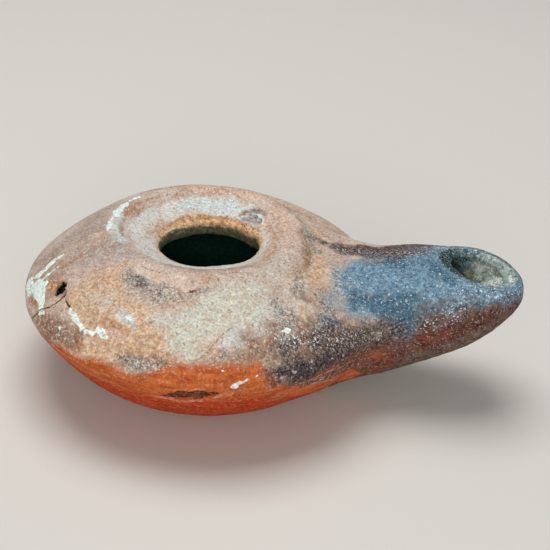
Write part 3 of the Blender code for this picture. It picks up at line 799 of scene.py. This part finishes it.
def form_fields(places, facing, hidden, marked, camera, surface):
    """How strongly the finishes show that follow the lamp's form, from 0 to 1, beside the marks."""
    wander = clouds(places, *FORM_WANDER)
    x, y, z = places.T
    wick = np.maximum(wick_hole(places, facing), hidden * above(x, *CHANNEL_FROM))
    mouth = mouth_wall(places, facing)
    high = smooth((z - EDGE_HEIGHT + EDGE_WANDER * wander) / EDGE_WIDTH + 0.5)
    from_axis = np.hypot(x - RING_SHIFT, y)
    lower = np.clip(SMOKE_LOW - z, 0.0, SMOKE_NEARER)
    smoke = above(x + SMOKE_WANDER * wander + lower, *SMOKE_FROM)
    straying = EMBER_WANDER + EMBER_STRAYING * above(y, *EMBER_STRAY_FROM)
    shore = shore_height(places, camera, surface) + straying * wander
    bare_clay_and_red_bounce = smooth((shore - z) / EMBER_WIDTH + 0.5) * below(x, *EMBER_TO) * (1.0 - hidden)
    uneven_z = z + HEIGHT_WANDER * wander
    lighter_deep_down = 1.0 - DUST_THINNED * hidden * above(uneven_z, *DUST_THIN_ABOVE)
    silt_span = above(x, *SILT_FROM) * below(x - wander, *SILT_TO)
    # Painted shade in the wick hole: near the body and under the rim.
    shade_near_body = wick * (1.0 - SHADE_THINNED_INSIDE * hidden) * below(x - wander, *SHADE_NEAR_BODY_TO)
    shade_under_rim = RIM_SHADE * hidden * above(x, *RIM_SHADE_FROM) * above(uneven_z, *RIM_SHADE_ABOVE)
    covers = [hidden, wick, smoke, EMBER_HIDES * bare_clay_and_red_bounce, marked["soot"], marked["char"]]
    return {
        "clay": 1.0 - np.maximum.reduce(covers),
        "smoke": smoke,
        "bare_clay_and_red_bounce": bare_clay_and_red_bounce,
        "low": bare_clay_and_red_bounce * below(z - wander, *RED_BOUNCE_BELOW),
        "discus": below(from_axis - wander, *DISCUS_WITHIN) * above(z, *DISCUS_ABOVE),
        "hollow": hidden,
        "wall": mouth * (1.0 - high),
        "edge": mouth * high,
        "wick": wick,
        "ash_and_painted_light": wick * lighter_deep_down * above(x + ASH_WANDER * wander, *ASH_FROM),
        "dust_and_painted_light": hidden * lighter_deep_down * above(x + wander, *DUST_FROM),
        "wick_hole_painted_shade": np.maximum(shade_near_body, shade_under_rim),
        "silt_and_painted_light": hidden * silt_span * below(z, *SILT_BELOW),
    }


def relief(places, fields):
    """How far the worn surface stands out from the even one, in millimetres."""
    grain = clouds(places, *GRAIN)
    worn = WORN_GRAIN * np.maximum(fields["edge"], fields["scraped"])
    rough = np.maximum.reduce([fields["smoke"], fields["grey"], worn])
    height = WAVE_HEIGHT * clouds(places, *WAVES) + DENT_HEIGHT * clouds(places, *DENTS)
    height += grain * (GRAIN_HEIGHT + ROUGH_GRAIN * rough + LIME_GRAIN * fields["lime"])
    for name, rise in HEIGHTS:
        height += rise * fields[name]
    return height


def wear(piece, surface, camera, marks):
    """Moves the skin's points to the worn surface and keeps the finish fields as attributes."""
    places, facing = places_of(piece)
    hidden = hollow(places, facing, surface)
    marked = mark_fields(places, marks)
    fields = {**marked, **form_fields(places, facing, hidden, marked, camera, surface)}
    height = relief(places, fields) * smooth(places[:, 2] / FOOT_EDGE)
    move_to(piece, shaped_inside(places, hidden) + facing * height[:, None])
    for name, values in fields.items():
        layer = piece.data.attributes.new(name, "FLOAT", "POINT")
        layer.data.foreach_set("value", values.astype(np.float32))


def linear(colour):
    """The linear colour of an sRGB hex value."""
    parts = [int(colour[start:start + 2], 16) / 255 for start in (1, 3, 5)]
    low = [part / 12.92 for part in parts]
    high = [((part + 0.055) / 1.055) ** 2.4 for part in parts]
    return [dim if part <= 0.04045 else bright for part, dim, bright in zip(parts, low, high)] + [1.0]


def add(tree, kind, inputs, **settings):
    """Adds a node with its settings, and fills or links its inputs, which are given by name or number."""
    node = tree.nodes.new(kind)
    for name, value in settings.items():
        setattr(node, name, value)
    for key, value in inputs.items():
        if isinstance(value, bpy.types.NodeSocket):
            tree.links.new(value, node.inputs[key])
        else:
            node.inputs[key].default_value = value
    return node


def clay_patterns(tree, place):
    """The clay's mottling, from broad clouds to single grains, each from 0 to 1."""
    patterns = {}
    for number, (name, size, length, detail, none, full) in enumerate(PATTERNS):
        stretch = (1.0 / length, 1.0 / length, 1.0)
        shift = [number * step for step in PATTERN_STEP]
        moved = add(tree, "ShaderNodeVectorMath", {0: place, 1: stretch, 2: shift},
                    operation="MULTIPLY_ADD")
        forms = add(tree, "ShaderNodeTexNoise", {"Vector": moved.outputs[0], "Scale": 1.0 / (size * MM),
                                                 "Detail": detail, "Roughness": PATTERN_ROUGHNESS})
        spread = add(tree, "ShaderNodeMapRange", {"Value": forms.outputs[0], "From Min": none,
                                                  "From Max": full})
        patterns[name] = spread.outputs[0]
    return patterns


def laid_coats(tree, patterns, colour):
    """The clay's colour with each coat laid over it in turn, thin or missing where patterns break it up."""
    both = add(tree, "ShaderNodeMath", {0: patterns["blotch"], 1: patterns["crumbs"]}, operation="ADD")
    for finish, dark, light, pattern, reach, edge, strength in COATS:
        field = add(tree, "ShaderNodeAttribute", {}, attribute_name=finish)
        broken = add(tree, "ShaderNodeMath", {0: both.outputs[0], 1: 0.5 * reach, 2: 1.0 - 0.5 * reach},
                     operation="MULTIPLY_ADD")
        cover = add(tree, "ShaderNodeMath", {0: field.outputs["Fac"], 1: broken.outputs[0]},
                    operation="MULTIPLY")
        share = add(tree, "ShaderNodeMapRange", {"Value": cover.outputs[0], "From Min": 0.5 - edge,
                                                 "From Max": 0.5 + edge, "To Max": strength})
        coat = add(tree, "ShaderNodeMix", {0: patterns[pattern], 6: linear(dark), 7: linear(light)},
                   data_type="RGBA")
        colour = add(tree, "ShaderNodeMix", {0: share.outputs[0], 6: colour, 7: coat.outputs[2]},
                     data_type="RGBA").outputs[2]
    return colour


def with_flecks(tree, place, colour):
    """The colour with grains and stains scattered in it."""
    for number, (finish, size, rarity, tone, strength) in enumerate(FLECKS):
        field = add(tree, "ShaderNodeAttribute", {}, attribute_name=finish)
        shift = (FLECK_PLACE[0] + FLECK_STEP * number, *FLECK_PLACE[1:])
        moved = add(tree, "ShaderNodeVectorMath", {0: place, 1: shift}, operation="ADD")
        grains = add(tree, "ShaderNodeTexNoise", {"Vector": moved.outputs[0], "Scale": 1.0 / (size * MM),
                                                  "Detail": FLECK_DETAIL})
        spots = add(tree, "ShaderNodeMapRange", {"Value": grains.outputs[0], "To Max": strength,
                                                 "From Min": rarity - FLECK_EDGE,
                                                 "From Max": rarity + FLECK_EDGE})
        share = add(tree, "ShaderNodeMath", {0: spots.outputs[0], 1: field.outputs["Fac"]},
                    operation="MULTIPLY")
        colour = add(tree, "ShaderNodeMix", {0: share.outputs[0], 6: colour, 7: linear(tone)},
                     data_type="RGBA").outputs[2]
    return colour


def fired_earthenware():
    """Coarse fired earthenware: matt and grainy, buff to orange-red where bare, blue-grey where sooted."""
    material = bpy.data.materials.new("fired_earthenware")
    material.use_nodes = True
    tree = material.node_tree
    shader = tree.nodes["Principled BSDF"]
    place = add(tree, "ShaderNodeTexCoord", {}).outputs["Object"]
    patterns = clay_patterns(tree, place)
    clay = add(tree, "ShaderNodeMix", {0: patterns["broad"], 6: linear(CLAY[0]), 7: linear(CLAY[1])},
               data_type="RGBA")
    colour = with_flecks(tree, place, laid_coats(tree, patterns, clay.outputs[2]))
    shade = add(tree, "ShaderNodeMapRange", {"Value": patterns["grit"], "To Min": 1.0 - GRIT_SHADE,
                                             "To Max": 1.0 + GRIT_SHADE})
    grainy = add(tree, "ShaderNodeVectorMath", {0: colour, "Scale": shade.outputs[0]}, operation="SCALE")
    tree.links.new(grainy.outputs[0], shader.inputs["Base Color"])
    shader.inputs["Roughness"].default_value = ROUGHNESS
    shader.inputs["Specular IOR Level"].default_value = SPECULAR
    rough = add(tree, "ShaderNodeMath", {0: patterns["crumbs"], 1: CRUMB_SHARE, 2: patterns["grit"]},
                operation="MULTIPLY_ADD")
    bump = add(tree, "ShaderNodeBump", {"Height": rough.outputs[0], "Distance": BUMP_HEIGHT * MM,
                                        "Strength": BUMP_STRENGTH})
    tree.links.new(bump.outputs[0], shader.inputs["Normal"])
    return material


def floor():
    """A floor of pale, matt paper: no shine, and an even colour that takes a soft shadow."""
    bpy.ops.mesh.primitive_plane_add(size=FLOOR_SIZE * MM)
    piece = bpy.context.active_object
    piece.name = "floor"
    material = bpy.data.materials.new("matt_paper")
    material.use_nodes = True
    shader = material.node_tree.nodes["Principled BSDF"]
    shader.inputs["Base Color"].default_value = linear(FLOOR_COLOUR)
    shader.inputs["Roughness"].default_value = FLOOR_ROUGHNESS
    piece.data.materials.append(material)


def softbox(name, place, aim, size, power, colour):
    """A square soft light at a place, turned towards another."""
    data = bpy.data.lights.new(name, "AREA")
    data.size = size * MM
    data.energy = power
    data.color = linear(colour)[:3]
    light = bpy.data.objects.new(name, data)
    light.location = Vector(place) * MM
    light.rotation_euler = (Vector(aim) - Vector(place)).to_track_quat("-Z", "Y").to_euler()
    bpy.context.scene.collection.objects.link(light)


def studio():
    """Soft light from above and from the front, and an even, dim surround."""
    softbox("key", KEY_PLACE, LAMP_MIDDLE, KEY_SIZE, KEY_POWER, KEY_COLOUR)
    softbox("fill", FILL_PLACE, LAMP_MIDDLE, FILL_SIZE, FILL_POWER, FILL_COLOUR)
    world = bpy.data.worlds.new("surround")
    world.use_nodes = True
    surround = world.node_tree.nodes["Background"]
    surround.inputs["Color"].default_value = linear(SURROUND_COLOUR)
    surround.inputs["Strength"].default_value = SURROUND_STRENGTH
    bpy.context.scene.world = world
    bpy.context.scene.view_settings.view_transform = "Standard"


camera = photo_camera()
skin, guide = lamp_skin()
surface = surface_of(guide)
marks = {name: [on_lamp(camera, surface, mark) for mark in runs] for name, runs, *_ in MARKS}
refine(skin, [run for name in FINE_MARKS for run in marks[name]])
apply_modifier(skin, "SHRINKWRAP", target=guide, wrap_method="NEAREST_SURFACEPOINT")
wear(skin, surface, camera, marks)
bpy.data.objects.remove(guide)
skin.data.shade_smooth()
skin.data.materials.clear()
skin.data.materials.append(fired_earthenware())
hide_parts("oil_lamp")
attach(skin, "root")
floor()
studio()
